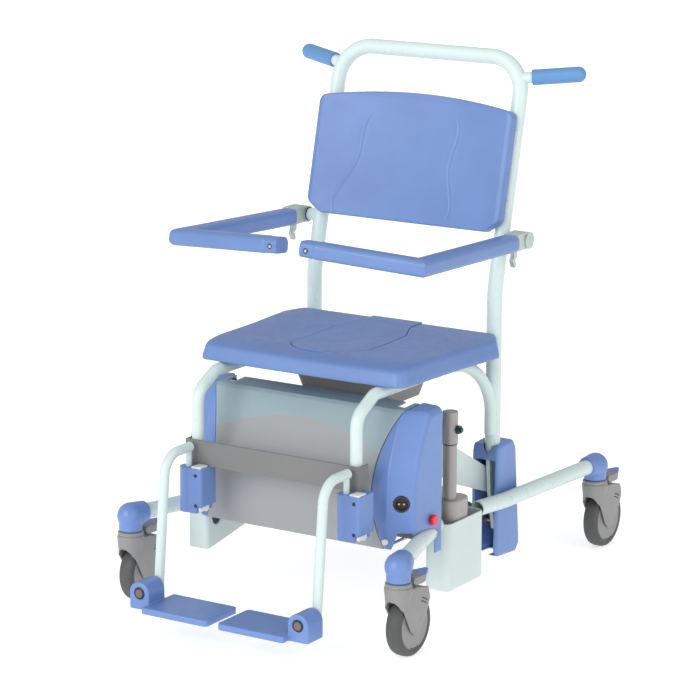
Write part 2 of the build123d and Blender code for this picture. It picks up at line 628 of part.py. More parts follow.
def backrest_clips():
    """Saddle clips between the back pad and the posts."""
    clips = []
    for z in (790.0, 930.0):
        y = post_y(z)
        clip = block((206, 230), (y - 40, y + 2), (z - 12, z + 12))
        clip -= hoop_path(None)
        clip -= backrest()
        clips.append(clip.solids().sort_by(Axis.Y)[-1])
    return Compound([s for c in clips for s in (c, mirrored(c).solids()[0])])


# ---- Armrests -----------------------------------------------------------------------
def arm_pad():
    """L-shaped padded bar: along the side, round the corner and across the front."""
    path = Polyline(*ARM_PATH)
    width, height = ARM_SECTION
    section = Plane(origin=path @ 0, x_dir=(1, 0, 0), z_dir=path % 0) * RectangleRounded(
        width, height, 11)
    return sweep(section, path=path, transition=Transition.RIGHT)


def arm_bracket():
    """Metal bracket that turns on the boss and holds the pad's steel core."""
    y, z = ARM_AXIS
    barrel = drum(ARM_AXIS, (249.5, 285), 17)
    cheek = block((252, 282), (198, y), (z - 16, z + 15))
    plate = block((250, 285), (198, y - 2), (z + 15, z + 18))
    bracket = barrel + cheek + plate
    bracket -= drum(ARM_AXIS, (240, 284), PIN_R + RUNNING)
    slot = block((262, 272), (194, 222), (z - 20, z - 4))
    return bracket - slot


def lock_lever():
    """Hooked catch under the bracket."""
    y, z = LEVER_PIVOT
    outline = make_face(Polyline(
        (y - 7, z + 3), (y + 5, z + 3), (y + 6, z - 16), (y - 2, z - 24), (y + 3, z - 37),
        (y - 4, z - 40), (y - 12, z - 26), (y - 7, z - 14), close=True))
    width = (262.6, 271.4)
    return side_plate(fillet(outline.vertices(), 1.5), width) + drum(LEVER_PIVOT, width, 5)


# ---- Legrests -----------------------------------------------------------------------
def legrest_band():
    """Folded steel band between the front tubes that carries both legrests."""
    y0, y1 = BAND_Y
    z0, z1 = BAND_Z
    band = block((-BAND_HALF, BAND_HALF), (y0, y0 + BAND_WALL), BAND_Z)
    band += block((-BAND_HALF, BAND_HALF), (y0, y1), (z0, z0 + BAND_WALL))
    end = block((BAND_HALF - BAND_WALL, BAND_HALF), BAND_Y, BAND_Z)
    return band + end + mirrored(end)


def hinge_block():
    """Hinge block for a legrest pin, bolted under the band."""
    x, y = LEGREST_PIN
    top = BAND_Z[0]
    body = rod((x, y, top - 92), (x, y, top), 18)
    flag = block((x, 226), (y - 16, BAND_Y[1] - 8), (top - 92, top))
    flag = fillet(flag.edges().filter_by(Axis.Z).group_by(Axis.X)[-1], 8)
    body += flag
    body -= block((214, 226), (y - 20, BAND_Y[1]), (top - 96, top - 78))
    return body - rod((x, y, top - 90), (x, y, top + 1), LEGREST_PIN_R + RUNNING)


def release_lever():
    """Small release lever under the hinge block."""
    x, y = RELEASE_PIVOT
    z = BAND_Z[0] - 92
    lever = block((x - 3, x + 3), (y - 20, y + 8), (z + 3, z + 11.5))
    return lever + drum((y, z + 7), (x - 3, x + 3), 7)


def legrest_tube():
    """Gooseneck tube with its swivel pin, foot stub and end screw."""
    x, y = LEGREST_PIN
    points = [(x, y + 4, LEGREST_TOP_Z), (x, LEGREST_KNEE_Y, LEGREST_TOP_Z),
              (x, LEGREST_FOOT_Y, FOOT_AXIS_Z - 9)]
    pipe = tube(points, [45], LEGREST_D)
    pin = rod((x, y, BAND_Z[0] - 89), (x, y, LEGREST_TOP_Z), LEGREST_PIN_R)
    stub = rod((x, LEGREST_FOOT_Y, FOOT_AXIS_Z), (x, FOOT_BARREL_Y[0] + 4, FOOT_AXIS_Z), 7.95)
    screw = rod((x, FOOT_BARREL_Y[0] + 4, FOOT_AXIS_Z), (x, FOOT_BARREL_Y[0] + 0.5, FOOT_AXIS_Z), 11)
    return pipe + pin + stub + screw


def footplate():
    """Flip-up plate with its hinge barrel."""
    x = LEGREST_PIN[0]
    r = FOOT_BARREL_R
    plate = block(FOOT_X, FOOT_Y, FOOT_Z)
    plate = fillet(plate.edges().filter_by(Axis.Z).group_by(Axis.X)[0], 9)
    barrel = rod((x, FOOT_BARREL_Y[0], FOOT_AXIS_Z), (x, FOOT_BARREL_Y[1], FOOT_AXIS_Z), r)
    barrel += block((x - r, x + r), FOOT_BARREL_Y, (FOOT_Z[0], FOOT_AXIS_Z))
    foot = plate + barrel
    foot -= rod((x, FOOT_BARREL_Y[0] - 1, FOOT_AXIS_Z), (x, FOOT_BARREL_Y[1] + 1, FOOT_AXIS_Z), 8.0)
    return foot - rod((x, FOOT_BARREL_Y[0] - 1, FOOT_AXIS_Z), (x, FOOT_BARREL_Y[0] + 4.2, FOOT_AXIS_Z), 12)


# ---- Assembly -----------------------------------------------------------------------
def build():
    os.makedirs("parts", exist_ok=True)
    corners = {"front_right": FRONT_STEM, "front_left": (-FRONT_STEM[0], FRONT_STEM[1]),
               "rear_right": REAR_STEM, "rear_left": (-REAR_STEM[0], REAR_STEM[1])}
    for corner, stem in corners.items():
        save(castor_fork(*stem), f"castor_fork_{corner}")
        save(castor_wheel(*stem), f"castor_wheel_{corner}")
        save(brake_pedal(*stem), f"brake_pedal_{corner}")
    singles = (castor_sockets, front_leg_tubes, rear_leg_tubes, base_frame, left_side_bracket,
               actuator_tub, front_panel, charging_socket, cover_screws, battery_pack,
               control_box, stop_button, upper_lift_frame,
               front_pivot_pins, rear_pivot_pins, actuator_body, actuator_rod, clevis_bolt,
               back_hoop, seat, seat_lid, commode_pan, pan_rails, backrest, backrest_clips,
               legrest_band, push_grips, seat_tubes)
    for piece in singles:
        save(piece(), piece.__name__)
    pairs = (lower_arm, rear_cover, arm_pad, arm_bracket, lock_lever, legrest_tube, footplate)
    for piece in pairs:
        save_pair(piece(), piece.__name__)
    for piece in (hinge_block, release_lever):
        save_copies(piece(), piece.__name__)
    cover = side_cover()
    save(mirrored(cover), "side_cover_left")
    cover -= drum(STOP_BUTTON, (255, 275), 6 + 0.3)
    cover -= inlet_place() * rod((0, -20, 0), (0, 22, 0), 16)
    save(cover, "side_cover_right")


build()
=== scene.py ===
"""Looks of the height-adjustable shower and commode chair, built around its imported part.

Everything is in metres in the part's own frame: +X is the right side seen from in front,
+Y points to the back of the chair and +Z points up. Tubes, plates and covers are the
part's own solids with node materials. Padded and moulded pieces are rebuilt here from
fine meshes, and small fittings that the part leaves out are added to the right bodies.
"""
import json
import math

import bmesh
import bpy
import numpy as np
from mathutils import Matrix, Vector


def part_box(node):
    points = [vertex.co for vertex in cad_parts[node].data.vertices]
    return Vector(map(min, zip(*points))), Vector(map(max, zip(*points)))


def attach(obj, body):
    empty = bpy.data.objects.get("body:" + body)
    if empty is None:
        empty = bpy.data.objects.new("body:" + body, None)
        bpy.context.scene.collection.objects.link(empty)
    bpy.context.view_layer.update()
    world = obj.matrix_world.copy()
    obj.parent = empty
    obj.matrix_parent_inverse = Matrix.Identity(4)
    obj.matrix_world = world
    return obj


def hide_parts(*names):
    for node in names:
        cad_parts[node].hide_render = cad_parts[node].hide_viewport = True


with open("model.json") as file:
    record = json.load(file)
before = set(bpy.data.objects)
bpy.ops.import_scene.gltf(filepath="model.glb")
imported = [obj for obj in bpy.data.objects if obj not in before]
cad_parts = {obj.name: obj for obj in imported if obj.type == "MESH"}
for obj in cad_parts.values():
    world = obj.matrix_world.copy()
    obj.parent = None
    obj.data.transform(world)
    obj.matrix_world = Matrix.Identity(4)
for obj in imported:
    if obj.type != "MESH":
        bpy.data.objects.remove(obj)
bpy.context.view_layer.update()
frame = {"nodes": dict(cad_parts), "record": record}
NODES = frame["nodes"]
SIDES = {"right": 1, "left": -1}
CORNERS = ("front_right", "front_left", "rear_right", "rear_left")
BODY_OF = {n: body for body, members in frame["record"]["behaviour"]["bodies"].items()
           for n in members}


# ---- Materials ----------------------------------------------------------------------
def srgb(red, green, blue):
    """Linear colour from 0-255 display values."""
    return tuple((c / 255 / 12.92) if c < 10 else ((c / 255 + 0.055) / 1.055) ** 2.4
                 for c in (red, green, blue))


def add_node(tree, kind, links=None, **values):
    """New shader node with its properties set; links maps its inputs to outputs or values."""
    made = tree.nodes.new(kind)
    for name, value in values.items():
        setattr(made, name, value)
    for socket, source in (links or {}).items():
        if isinstance(source, bpy.types.NodeSocket):
            tree.links.new(source, made.inputs[socket])
        else:
            made.inputs[socket].default_value = source
    return made


def noise(tree, place, scale, detail=2.0):
    """Noise between 0 and 1, with scale cells per metre."""
    made = add_node(tree, "ShaderNodeTexNoise", {"Vector": place, "Scale": scale, "Detail": detail})
    return made.outputs["Fac"]


def remap(tree, value, low, high, to_low, to_high):
    """The value moved from one range to another, and held inside it."""
    links = {"Value": value, "From Min": low, "From Max": high, "To Min": to_low, "To Max": to_high}
    return add_node(tree, "ShaderNodeMapRange", links).outputs["Result"]


def mixed(tree, share, first, second):
    """Colour between two colours or sockets."""
    mix = add_node(tree, "ShaderNodeMix", data_type="RGBA")
    for index, source in ((0, share), (6, first), (7, second)):
        if isinstance(source, bpy.types.NodeSocket):
            tree.links.new(source, mix.inputs[index])
        elif index == 0:
            mix.inputs[0].default_value = source
        else:
            mix.inputs[index].default_value = (*source, 1.0)
    return mix.outputs[2]


def finish(name, colour, rough, metallic=0.0, mottle=0.06, patch=9.0, grain=0.0, grain_scale=700.0,
           edge=0.0, coat=0.0, split=None):
    """Node material: mottled colour, uneven gloss, fine surface grain, painted edge highlights.

    mottle is the share by which the colour wanders over patches; grain is the bump depth
    in metres at grain_scale cells per metre; edge is how much a painted highlight lightens
    convex edges; split adds a second colour below the line that panel_line gives.
    """
    material = bpy.data.materials.new(name)
    material.use_nodes = True
    tree = material.node_tree
    shader = tree.nodes["Principled BSDF"]
    place = add_node(tree, "ShaderNodeTexCoord").outputs["Object"]
    broad = noise(tree, place, patch, 3.0)
    dark = tuple(c * (1 - mottle) for c in colour)
    light = tuple(min(1.0, c * (1 + mottle)) for c in colour)
    shade = mixed(tree, remap(tree, broad, 0.3, 0.7, 0.0, 1.0), dark, light)
    if split:
        shade = mixed(tree, panel_line(tree, place), shade, split)
    # painted highlight: convex edges, found by pointiness, are lightened towards a brighter colour
    if edge:
        bend = add_node(tree, "ShaderNodeNewGeometry").outputs["Pointiness"]
        edge_highlight = tuple(min(1.0, c + edge) for c in colour)
        shade = mixed(tree, remap(tree, bend, 0.52, 0.62, 0.0, 0.8), shade, edge_highlight)
    tree.links.new(shade, shader.inputs["Base Color"])
    gloss = noise(tree, place, patch * 6, 2.0)
    tree.links.new(remap(tree, gloss, 0.3, 0.7, rough * 0.88, rough * 1.12),
                   shader.inputs["Roughness"])
    shader.inputs["Metallic"].default_value = metallic
    shader.inputs["Coat Weight"].default_value = coat
    shader.inputs["Coat Roughness"].default_value = 0.12
    if grain:
        fine = noise(tree, place, grain_scale, 2.0)
        bump = add_node(tree, "ShaderNodeBump",
                        {"Height": fine, "Strength": 1.0, "Distance": grain})
        tree.links.new(bump.outputs["Normal"], shader.inputs["Normal"])
    return material


DIVIDE_TOP, DIVIDE_FALL, DIVIDE_SOFT = 0.406, 1.17, 0.0012


def panel_line(tree, place):
    """1 below the panel's shallow dividing arc, 0 above it."""
    axes = add_node(tree, "ShaderNodeSeparateXYZ", {"Vector": place}).outputs
    across = add_node(tree, "ShaderNodeMath", {0: axes["X"], 1: axes["X"]}, operation="MULTIPLY")
    height = add_node(tree, "ShaderNodeMath", {0: across.outputs[0], 1: DIVIDE_FALL, 2: axes["Z"]},
                      operation="MULTIPLY_ADD")
    return remap(tree, height.outputs[0], DIVIDE_TOP - DIVIDE_SOFT, DIVIDE_TOP + DIVIDE_SOFT,
                 1.0, 0.0)


MATERIALS = {
    "blue_moulded": finish("moulded_blue_skin", srgb(101, 131, 186), 0.40, mottle=0.05, grain=0.00006,
                           grain_scale=900.0, edge=0.05),
    "blue_plastic": finish("blue_plastic", srgb(106, 136, 194), 0.33, mottle=0.04, grain=0.00003,
                           edge=0.06),
    "blue_grip": finish("blue_grip", srgb(92, 140, 192), 0.5, mottle=0.05, grain=0.00015,
                        grain_scale=420.0),
    "blue_tip": finish("blue_tip", srgb(70, 100, 205), 0.3, mottle=0.04, edge=0.04),
    "white_tube": finish("mint_powder_coat", srgb(206, 222, 220), 0.3, mottle=0.03, grain=0.00004,
                         grain_scale=1100.0),
    "white_tub": finish("pale_moulding", srgb(203, 216, 214), 0.38, mottle=0.03, grain=0.00004),
    "panel": finish("two_tone_panel", srgb(146, 166, 172), 0.4, mottle=0.04, grain=0.00003,
                    split=srgb(156, 158, 160)),
    "band": finish("grey_band", srgb(119, 119, 119), 0.45, mottle=0.05, grain=0.00004),
    "castor_grey": finish("grey_nylon", srgb(140, 140, 139), 0.5, mottle=0.05, grain=0.00005),
    "tyre": finish("grey_tyre", srgb(76, 77, 76), 0.6, mottle=0.08, grain=0.00006),
    "steel": finish("bright_steel", srgb(190, 192, 192), 0.28, metallic=1.0, mottle=0.05),
    "zinc": finish("cast_zinc", srgb(186, 194, 190), 0.4, metallic=0.35, mottle=0.07, grain=0.00008),
    "column_grey": finish("column_grey", srgb(163, 159, 157), 0.36, metallic=0.2, mottle=0.04),
    "dark_plastic": finish("dark_plastic", srgb(48, 48, 50), 0.42, mottle=0.08, grain=0.00005),
    "white_plastic": finish("white_plastic", srgb(228, 230, 228), 0.34, mottle=0.03),
    "red": finish("red_button", srgb(222, 18, 44), 0.18, mottle=0.05, coat=0.4),
    "pan": finish("pan_plastic", srgb(136, 131, 128), 0.5, mottle=0.05, grain=0.00005),
    "frame_steel": finish("frame_primer", srgb(120, 124, 124), 0.5, mottle=0.08),
    "gold": finish("gold_pin", srgb(214, 186, 110), 0.25, metallic=1.0, mottle=0.05),
    # the dark seam finish also paints the shade inside the castors' slits
    "seam": finish("dark_seam_and_slit_shade", srgb(38, 42, 50), 0.6, mottle=0.1),
    "cap_brown": finish("brown_cap", srgb(112, 98, 92), 0.4, mottle=0.1, grain=0.00005),
    "green_nut": finish("green_nut", srgb(24, 66, 62), 0.35, mottle=0.1, grain=0.00005),
}


def paint(piece, look):
    """Give a piece the one finish that the slot name picks."""
    piece.data.materials.clear()
    piece.data.materials.append(MATERIALS[look])
    return piece


# ---- Mesh helpers -------------------------------------------------------------------
def shade_smooth(piece, angle=35.0):
    """Smooth shading with edges sharper than the angle kept crisp."""
    with bpy.context.temp_override(object=piece, active_object=piece,
                                   selected_editable_objects=[piece]):
        bpy.ops.object.shade_smooth_by_angle(angle=math.radians(angle))


def new_piece(name, mesh):
    """New object in the scene that shows the mesh or curve."""
    piece = bpy.data.objects.new(name, mesh)
    bpy.context.scene.collection.objects.link(piece)
    return piece


def apply_modifiers(piece):
    """Replace the mesh with what its modifiers make of it."""
    graph = bpy.context.evaluated_depsgraph_get()
    result = bpy.data.meshes.new_from_object(piece.evaluated_get(graph))
    piece.modifiers.clear()
    piece.data = result


def points_of(piece):
    """The mesh's points as an array of (x, y, z) rows."""
    points = np.empty(len(piece.data.vertices) * 3)
    piece.data.vertices.foreach_get("co", points)
    return points.reshape(-1, 3)


def set_points(piece, points):
    """Move the mesh's points to the rows of the array."""
    piece.data.vertices.foreach_set("co", points.astype(np.float32).ravel())
    piece.data.update()


def mesh_from(name, build):
    """Turn a finished bmesh into a mesh and free it."""
    mesh = bpy.data.meshes.new(name)
    build.to_mesh(mesh)
    build.free()
    return mesh


def smooth_all(mesh):
    """Smooth shading over every face."""
    mesh.polygons.foreach_set("use_smooth", [True] * len(mesh.polygons))


def rounded(name, mesh, voxel, rounding):
    """New piece: the mesh rebuilt on a fine grid and its edges rounded by smoothing steps."""
    piece = new_piece(name, mesh)
    remesh = piece.modifiers.new("remesh", "REMESH")
    remesh.mode, remesh.voxel_size = "VOXEL", voxel
    smooth = piece.modifiers.new("smooth", "SMOOTH")
    smooth.factor, smooth.iterations = 0.5, rounding
    apply_modifiers(piece)
    return piece


def stand_for(piece, node, slot):
    """Paint a smooth piece and let it stand for a node, on the node's body."""
    smooth_all(piece.data)
    paint(piece, slot)
    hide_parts(node)
    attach(piece, BODY_OF[node])
    return piece


def moulding(node, voxel, rounding, slot, sculpt=None):
    """Rebuild a node as a fine mesh with rounded edges, then push its points with sculpt."""
    piece = rounded(f"moulded_{node}", NODES[node].data.copy(), voxel, rounding)
    if sculpt:
        set_points(piece, sculpt(points_of(piece)))
    return stand_for(piece, node, slot)


def lathe(name, profile, origin, axis, slot, body, steps=64):
    """Turned piece: profile is (distance along the axis, radius) from end to end."""
    build = bmesh.new()
    turn = Vector((0, 0, 1)).rotation_difference(Vector(axis).normalized()).to_matrix().to_4x4()
    place = Matrix.Translation(origin) @ turn
    rings = []
    for along, radius in profile:
        if radius < 1e-6:
            rings.append([build.verts.new(place @ Vector((0, 0, along)))])
            continue
        rings.append([build.verts.new(place @ Vector((
            radius * math.cos(2 * math.pi * k / steps), radius * math.sin(2 * math.pi * k / steps),
            along))) for k in range(steps)])
    for low, high in zip(rings, rings[1:]):
        for k in range(steps):
            n = (k + 1) % steps
            corners = [low[k % len(low)], low[n % len(low)],
                       high[n % len(high)], high[k % len(high)]]
            build.faces.new(list(dict.fromkeys(corners)))
    bmesh.ops.recalc_face_normals(build, faces=build.faces)
    piece = paint(new_piece(name, mesh_from(name, build)), slot)
    shade_smooth(piece)
    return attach(piece, body)


def dome(radius, height, edge, steps=5):
    """Lathe profile of a screw head: flat foot, rounded rim, shallow crown."""
    rim = [(height - edge + edge * math.sin(a), radius - edge + edge * math.cos(a))
           for a in np.linspace(0, math.pi / 2, steps)]
    return [(0, 0), (0, radius), *rim, (height, 0)]


def torus_ring(name, origin, axis, radius, thick, slot, body):
    """Thin round ring lying in the plane across the axis."""
    turns = np.linspace(0, 2 * math.pi, 17)
    profile = [(thick * math.sin(a), radius + thick * math.cos(a)) for a in turns]
    return lathe(name, profile, origin, axis, slot, body, 48)


def line_tube(name, points, radius, slot, body):
    """Thin round bead along a smooth line of points."""
    curve = bpy.data.curves.new(name, "CURVE")
    curve.dimensions, curve.bevel_depth, curve.bevel_resolution = "3D", radius, 3
    curve.use_fill_caps = True
    spline = curve.splines.new("NURBS")
    spline.points.add(len(points) - 1)
    for target, point in zip(spline.points, points):
        target.co = (*point, 1.0)
    spline.order_u, spline.use_endpoint_u = 3, True
    piece = new_piece(name, curve)
    graph = bpy.context.evaluated_depsgraph_get()
    mesh = bpy.data.meshes.new_from_object(piece.evaluated_get(graph))
    bpy.data.objects.remove(piece)
    piece = paint(new_piece(name, mesh), slot)
    smooth_all(mesh)
    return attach(piece, body)


def bump_curve(x, width):
    """Smooth bell of height 1 at 0."""
    return np.exp(-(x / width) ** 2)


def ramp(x, low, high):
    """Smooth step from 0 at low to 1 at high."""
    t = np.clip((x - low) / (high - low), 0, 1)
    return t * t * (3 - 2 * t)


# ---- The part's own solids ----------------------------------------------------------
SLOT_OF = {entry["node"]: entry["material_slot"] for entry in frame["record"]["subparts"]}
for node_name, solid in NODES.items():
    paint(solid, SLOT_OF[node_name])
    shade_smooth(solid, 32.0)


# ---- Seat, lid, back pad and arm pads -----------------------------------------------
SEAT_LOW, SEAT_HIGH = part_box("seat")
SEAT_MIDDLE = (SEAT_LOW + SEAT_HIGH) / 2
DISH, WATERFALL, FLARE = 0.007, 0.010, 0.006


def seat_form(points):
    """Shallow dish, rolled-down front and sides that flare outwards to their lower edge."""
    x, y, z = points.T
    across = (x - SEAT_MIDDLE.x) / (SEAT_HIGH.x - SEAT_MIDDLE.x)
    along = (y - SEAT_LOW.y) / (SEAT_HIGH.y - SEAT_LOW.y)
    up = ramp(z, SEAT_LOW.z, SEAT_HIGH.z)
    dish = DISH * (1 - across ** 2) * np.sin(math.pi * np.clip(along * 1.05, 0, 1)) ** 2
    roll = WATERFALL * np.clip((0.22 - along) / 0.22, 0, 1) ** 2
    rim = 0.005 * np.clip((np.abs(across) - 0.8) / 0.2, 0, 1) ** 2
    z = z - up * (dish + roll + rim)
    out = FLARE * (0.6 - up)
    x = x + out * np.sign(across) * ramp(np.abs(across), 0.7, 0.98)
    y = y - out * np.clip((0.2 - along) / 0.2, 0, 1)
    return np.stack((x, y, z), axis=1)


LID_SPREAD, LID_TAB = 0.0011, 0.0016


def lid_form(points):
    """The seat's own surface carried across the opening, with a raised tab at the back."""
    low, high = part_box("seat_lid")
    points[:, 0] *= 1 + LID_SPREAD / high.x
    points = seat_form(points)
    points[:, 2] += LID_TAB * ramp(points[:, 1], high.y - 0.05, high.y - 0.03)
    return points


BACK_LOW, BACK_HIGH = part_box("backrest")
BACK_LEAN = math.radians(13.3)
BACK_GROOVES = {
    "left": ((-101, 952), (-118, 914), (-118, 875), (-136, 831), (-158, 792), (-165, 744)),
    "right": ((104, 953), (108, 926), (107, 907), (97, 875), (97, 846), (105, 809), (105, 759)),
}


def back_form(points):
    """Soft crown, a lip along the top and two wandering grooves down the front."""
    x, y, z = points.T
    rise = (z - BACK_LOW.z) / (BACK_HIGH.z - BACK_LOW.z)
    across = x / BACK_HIGH.x
    into = np.array((0.0, math.cos(BACK_LEAN), -math.sin(BACK_LEAN)))
    depth = y * into[1] + z * into[2]
    face = 0.013 * (1 - across ** 2)
    nearest = (depth - face).min()
    front = 1 - ramp(depth - face, nearest + 0.006, nearest + 0.014)
    push = np.zeros_like(x)
    for line in BACK_GROOVES.values():
        heights = np.array([p[1] for p in line]) / 1000
        offsets = np.array([p[0] for p in line]) / 1000
        fit = np.polyfit(heights - 0.85, offsets, 4)
        inside = ramp(z, heights.min() - 0.008, heights.min() + 0.01)
        inside = inside * (1 - ramp(z, heights.max() - 0.004, heights.max() + 0.006))
        away = x - np.polyval(fit, np.clip(z, heights.min() - 0.02, heights.max() + 0.02) - 0.85)
        push += inside * (0.0013 * bump_curve(away, 0.0021) - 0.0005 * bump_curve(away, 0.0065))
    push += 0.0025 * (ramp(rise, 0.93, 1.0) + ramp(np.abs(across), 0.95, 1.0))
    push -= 0.003 * np.sin(math.pi * np.clip(rise, 0, 1)) * (1 - across ** 2)
    return points + np.outer(push * front, into)


ARM_LOW, ARM_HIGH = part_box("arm_pad_right")
ARM_END = Vector((ARM_LOW.x + 0.002, ARM_LOW.y + 0.0215, ARM_HIGH.z - 0.0178))
ARM_SLOPE = Vector((0.254, 0.022, -0.014)).normalized()
CAP_LENGTH, CAP_INSET = 0.033, 0.0009
ARM_CORNER_CUT = 0.017


def arm_form(points):
    """Slimmer cap at the inner end behind a narrow groove, and a softened outer corner."""
    x, y, z = points.T
    side = np.where(x < 0, -1.0, 1.0)
    along = (np.abs(x) - ARM_END.x) / ARM_SLOPE.x
    centre_y = ARM_END.y + along * ARM_SLOPE.y
    centre_z = ARM_END.z + along * ARM_SLOPE.z
    front = 1 - ramp(y, ARM_LOW.y + 0.05, ARM_LOW.y + 0.06)
    inset = CAP_INSET * (1 - ramp(along, CAP_LENGTH - 0.002, CAP_LENGTH))
    inset = front * (inset + 0.0011 * bump_curve(along - CAP_LENGTH, 0.0016))
    away_y, away_z = y - centre_y, z - centre_z
    reach = np.maximum(np.hypot(away_y, away_z), 1e-6)
    y = y - inset * away_y / reach
    z = z - inset * away_z / reach
    corner = Vector((ARM_HIGH.x, ARM_LOW.y, 0))
    diagonal = ((corner.x - side * x) + (y - corner.y)) / math.sqrt(2)
    cut = np.clip(ARM_CORNER_CUT - diagonal, 0, None) * 0.75
    x = x - side * cut / math.sqrt(2)
    y = y + cut / math.sqrt(2)
    return np.stack((x, y, z), axis=1)


def soft_pieces():
    """The padded pieces, firm moulded foam: each rebuilt as a rounded, sculpted moulding."""
    moulding("seat", 0.0019, 9, "blue_moulded", seat_form)
    moulding("seat_lid", 0.0013, 3, "blue_moulded", lid_form)
    moulding("backrest", 0.0017, 12, "blue_moulded", back_form)
    for side in SIDES:
        moulding(f"arm_pad_{side}", 0.0018, 7, "blue_moulded", arm_form)


soft_pieces()


# ---- Moulded covers, hinge blocks, footplates, tub, bracket and pan -------------------
for side in SIDES:
    moulding(f"side_cover_{side}", 0.0014, 12, "blue_plastic")
    moulding(f"rear_cover_{side}", 0.0014, 8, "blue_plastic")
    moulding(f"hinge_block_{side}", 0.0010, 4, "blue_plastic")
    moulding(f"footplate_{side}", 0.0013, 4, "blue_plastic")
moulding("actuator_tub", 0.0014, 12, "white_tub")
moulding("left_side_bracket", 0.0013, 3, "white_tub")
moulding("commode_pan", 0.0014, 4, "pan")


# ---- Castors --------------------------------------------------------------------------
TRAIL = 0.037
CHEEK_IN, CHEEK_OUT = 0.0180, 0.0225
TAPER_TOP, TAPER_FOOT, TAPER_SHARE = 0.112, 0.046, 0.78
FORK_NOSE = 0.0255
PEDAL_LOW, PEDAL_DEEPER, PEDAL_WIDER, PEDAL_LONGER, PEDAL_TOE = 0.146, 0.0030, 1.25, 0.013, 0.068
SKIRT_TOP, SKIRT_ARCH, SKIRT_DROP, SKIRT_WALL = 0.1400, 0.124, 0.022, 0.0035
FORK_SLOT_RADII, FORK_SLOT_TURN = (0.0485, 0.0550), (52, 76)
DISC_FACE, DISC_SLOT_RADIUS, DISC_SLOT_TURN = 0.0146, 0.0455, (-112, -74)
# turned profiles: (distance along the axis, radius)
COLLAR = ((0.120, 0.0), (0.120, 0.0225), (0.128, 0.0262), (0.138, 0.0274), (0.1455, 0.0276),
          (0.1472, 0.0268), (0.1484, 0.0252), (0.1494, 0.0262), (0.1540, 0.0264),
          (0.1556, 0.0252), (0.1562, 0.0235), (0.1562, 0.0))
TYRE = ((-0.0150, 0.0480), (-0.0159, 0.0500), (-0.0160, 0.0540), (-0.0150, 0.0578),
        (-0.0122, 0.0606), (-0.0075, 0.0621), (0.0, 0.0625))
HUB = ((-0.0158, 0.0), (-0.0158, 0.0105), (-0.0152, 0.0118), (-0.0146, 0.0200),
       (-0.0146, 0.0400), (-0.0156, 0.0430), (-0.0156, 0.0468), (-0.0146, 0.0479))


def cheek_reach(z):
    """How far from the middle a cheek's outer face stands at a height."""
    return CHEEK_OUT - (CHEEK_OUT - CHEEK_IN) * TAPER_SHARE * (1 - ramp(z, TAPER_FOOT, TAPER_TOP))


def fork_form(middle):
    """Thin the cheeks towards the axle so that they meet the wheel's disc."""
    stem_y = middle.y - TRAIL

    def form(points):
        x, y, z = points.T
        radius = np.maximum(np.hypot(x - middle.x, y - stem_y), 1e-6)
        inside = np.where(y < stem_y, np.minimum(1.0, FORK_NOSE / radius), 1.0)
        x = middle.x + (x - middle.x) * inside
        y = stem_y + (y - stem_y) * inside
        away = np.abs(x - middle.x)
        share = np.clip((away - CHEEK_IN) / (CHEEK_OUT - CHEEK_IN), 0, 1)
        thin = share * (CHEEK_OUT - cheek_reach(z)) * (1 - ramp(z, TAPER_TOP, TAPER_TOP + 0.005))
        return np.stack((x - np.sign(x - middle.x) * thin, y, z), axis=1)
    return form


def pedal_form(middle):
    """Widen and deepen the pedal and draw it out to a rounded point."""
    def form(points):
        x, y, z = points.T
        stem_y = middle.y - TRAIL
        back = y - stem_y
        tip = ramp(back, 0.055, 0.092)
        x = middle.x + (x - middle.x) * PEDAL_WIDER * (1 - 0.6 * tip ** 1.4)
        y = y + PEDAL_LONGER * ramp(back, 0.045, 0.092)
        under = 1 - np.clip((z - PEDAL_LOW) / 0.013, 0, 1)
        z = z - PEDAL_DEEPER * under * ramp(back, 0.029, 0.038) * (1 - tip)
        z = z + 0.004 * under * tip
        return np.stack((x, y, z), axis=1)
    return form


def fork_skirt(corner, middle):
    """Front wall of the fork: a half round shell with an arched lower edge over the tyre."""
    build = bmesh.new()
    stem = Vector((middle.x, middle.y - TRAIL, 0))
    angles = np.linspace(-math.pi / 2, math.pi / 2, 41)
    rows = 14
    grid = {}
    for i, a in enumerate(angles):
        foot = SKIRT_ARCH - SKIRT_DROP * abs(math.sin(a)) ** 1.6
        for j in range(rows):
            z = SKIRT_TOP + (foot - SKIRT_TOP) * j / (rows - 1)
            share = (SKIRT_TOP - z) / 0.04
            wide, deep = 0.0272 - 0.0047 * share, 0.0274 - 0.0006 * share
            for layer, inset in enumerate((0.0, SKIRT_WALL)):
                across, ahead = (wide - inset) * math.sin(a), (deep - inset) * math.cos(a)
                grid[i, j, layer] = build.verts.new((stem.x + across, stem.y - ahead, z))
    last, end = len(angles) - 1, rows - 1
    for i in range(last):
        for j in range(end):
            for layer in (0, 1):
                build.faces.new([grid[i, j, layer], grid[i + 1, j, layer],
                                 grid[i + 1, j + 1, layer], grid[i, j + 1, layer]])
        for j in (0, end):
            build.faces.new([grid[i, j, 0], grid[i + 1, j, 0], grid[i + 1, j, 1], grid[i, j, 1]])
    for j in range(end):
        for i in (0, last):
            build.faces.new([grid[i, j, 0], grid[i, j + 1, 0], grid[i, j + 1, 1], grid[i, j, 1]])
    bmesh.ops.recalc_face_normals(build, faces=build.faces)
    name = f"fork_skirt_{corner}"
    piece = paint(new_piece(name, mesh_from(name, build)), "castor_grey")
    round_off = piece.modifiers.new("bevel", "BEVEL")
    round_off.width, round_off.segments = 0.0009, 2
    apply_modifiers(piece)
    shade_smooth(piece, 40.0)
    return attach(piece, f"castor_{corner}")


